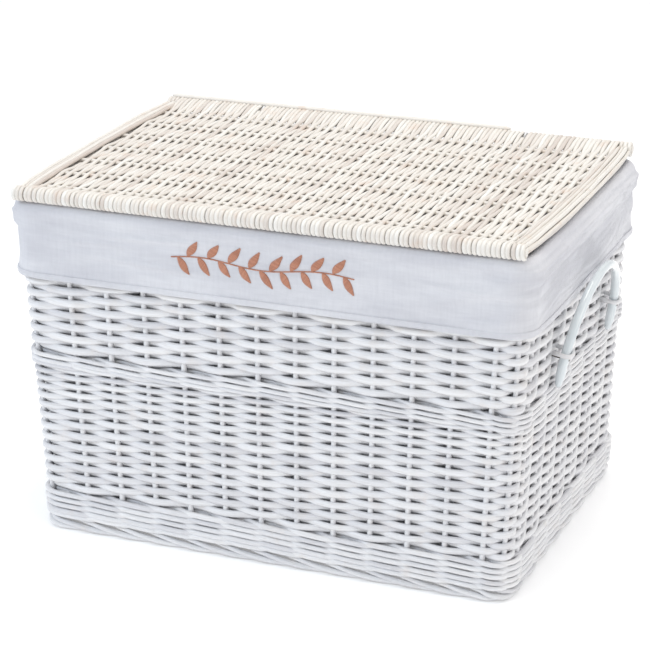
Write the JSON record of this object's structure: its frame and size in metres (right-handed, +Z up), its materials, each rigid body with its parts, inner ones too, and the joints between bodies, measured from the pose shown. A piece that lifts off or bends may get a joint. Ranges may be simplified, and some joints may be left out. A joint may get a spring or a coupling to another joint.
{
  "type": "wicker storage trunk",
  "caption": "Rectangular woven willow storage trunk with a hinged flat lid, a cotton liner with a cuff over the rim, and a bow handle on each end.",
  "frame": {"origin": "middle of the footprint on the floor", "axes": "+X towards the right end, front at -Y, lid hinged along +Y, +Z up"},
  "size_m": [0.664, 0.416, 0.42],
  "materials": {
    "willow": "satin white paint over round willow",
    "lid_willow": "satin warm white paint over round willow",
    "bow": "gloss pale grey-white paint over a bent rod",
    "cotton": "plain-woven white cotton",
    "thread": "copper-coloured embroidery thread with a sheen",
    "nail": "small darkened steel nail"
  },
  "bodies": {
    "trunk": {"foot_border": "willow", "base_weave": "willow", "base_sticks": "willow", "bottom_wale": "willow", "front_lower_weave": "willow", "right_lower_weave": "willow", "back_lower_weave": "willow", "left_lower_weave": "willow", "front_waist_wale": "willow", "right_waist_wale": "willow", "back_waist_wale": "willow", "left_waist_wale": "willow", "front_upper_weave": "willow", "right_upper_weave": "willow", "back_upper_weave": "willow", "left_upper_weave": "willow", "front_border": "willow", "right_border": "willow", "back_border": "willow", "left_border": "willow", "front_stakes": "willow", "right_stakes": "willow", "back_stakes": "willow", "left_stakes": "willow", "corner_posts": "willow", "right_handle": "bow", "left_handle": "bow", "right_handle_bindings": "willow", "left_handle_bindings": "willow", "handle_nails": "nail", "liner_bag": "cotton", "liner_cuff": "cotton", "cuff_hem": "cotton", "embroidery": "thread", "left_hinge_loop": "willow", "right_hinge_loop": "willow"},
    "lid": {"lid_front_rod": "lid_willow", "lid_back_rod": "lid_willow", "lid_front_wrapping": "lid_willow", "lid_back_wrapping": "lid_willow", "lid_splice_rod": "lid_willow", "lid_long_rods": "lid_willow", "lid_weave": "lid_willow", "lid_right_end": "lid_willow", "lid_left_end": "lid_willow"}
  },
  "joints": [
    {"name": "lid_hinge", "type": "hinge", "parent": "trunk", "child": "lid", "pos_m": [0, 0.199, 0.4078], "axis": [-1, 0, 0], "range_deg": [0, 100]}
  ]
}
